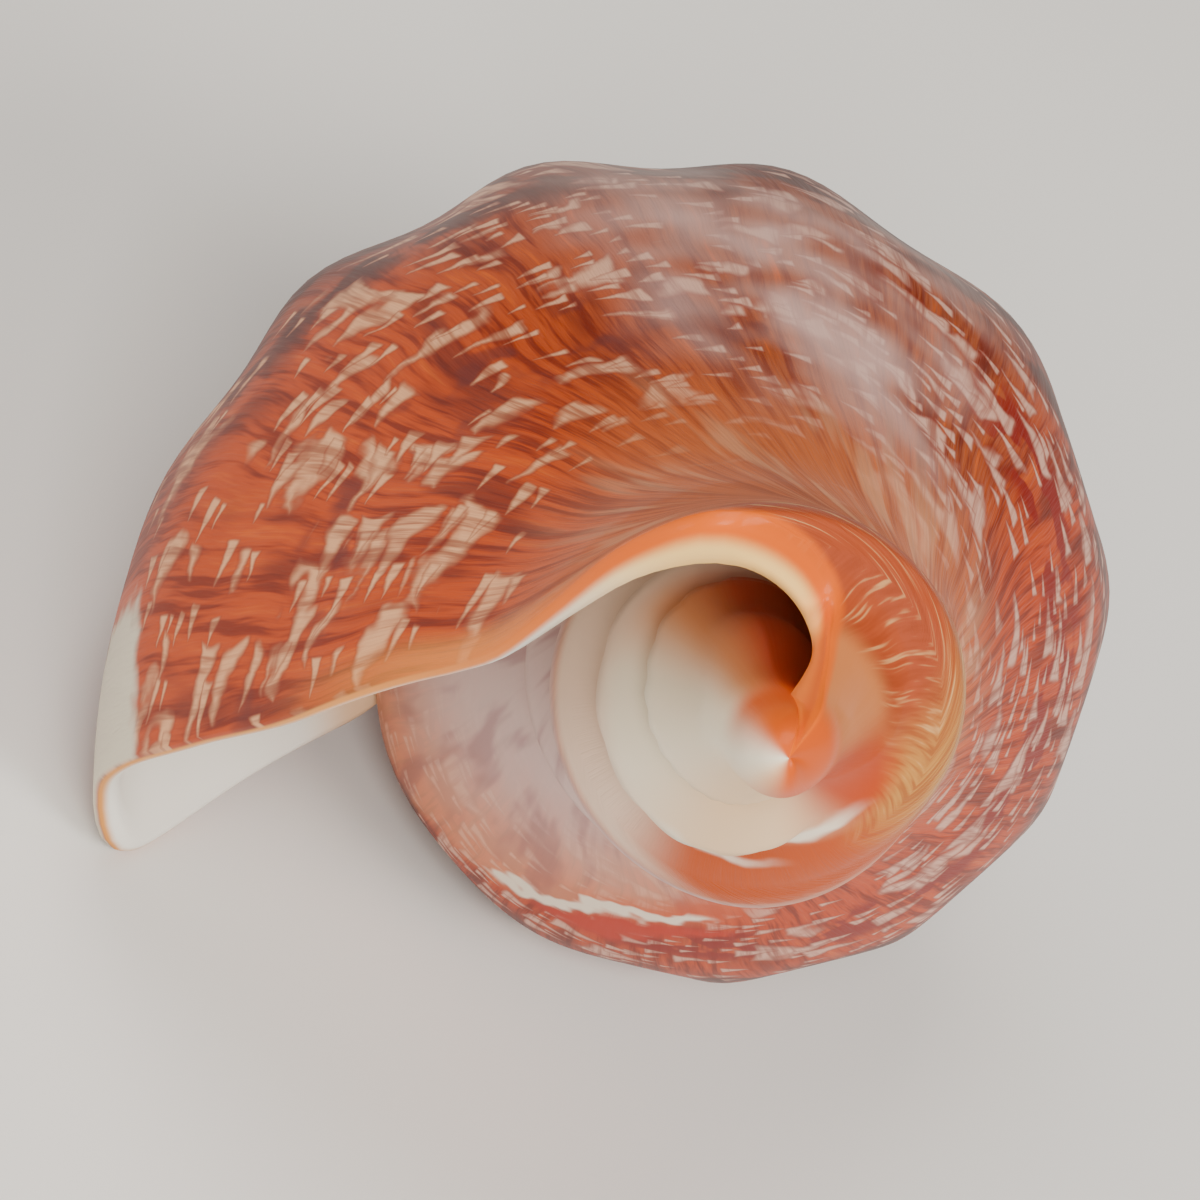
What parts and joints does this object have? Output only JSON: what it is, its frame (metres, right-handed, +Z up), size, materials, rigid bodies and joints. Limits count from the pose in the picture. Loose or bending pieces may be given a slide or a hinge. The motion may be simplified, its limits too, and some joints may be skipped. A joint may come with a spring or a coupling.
{
  "type": "volute shell",
  "caption": "Heavy spiral sea shell with a knobbed shoulder, a wide slanting mouth, a notched front end and a folded central pillar, lying on its side.",
  "frame": {"origin": "middle of the bounding box, on the surface that the shell lies on", "axes": "+Z up; the pointed front end faces -Y and rises, the spire lies low at +Y, the mouth opens forward and up, and its outer lip reaches out low on the -X side"},
  "size_m": [0.0398, 0.0586, 0.0523],
  "materials": {
    "shell": "glossy orange-brown porcelain-like shell with white tent marks, cream inside"
  },
  "bodies": {
    "root": {"volute_shell": "shell"}
  },
  "joints": []
}
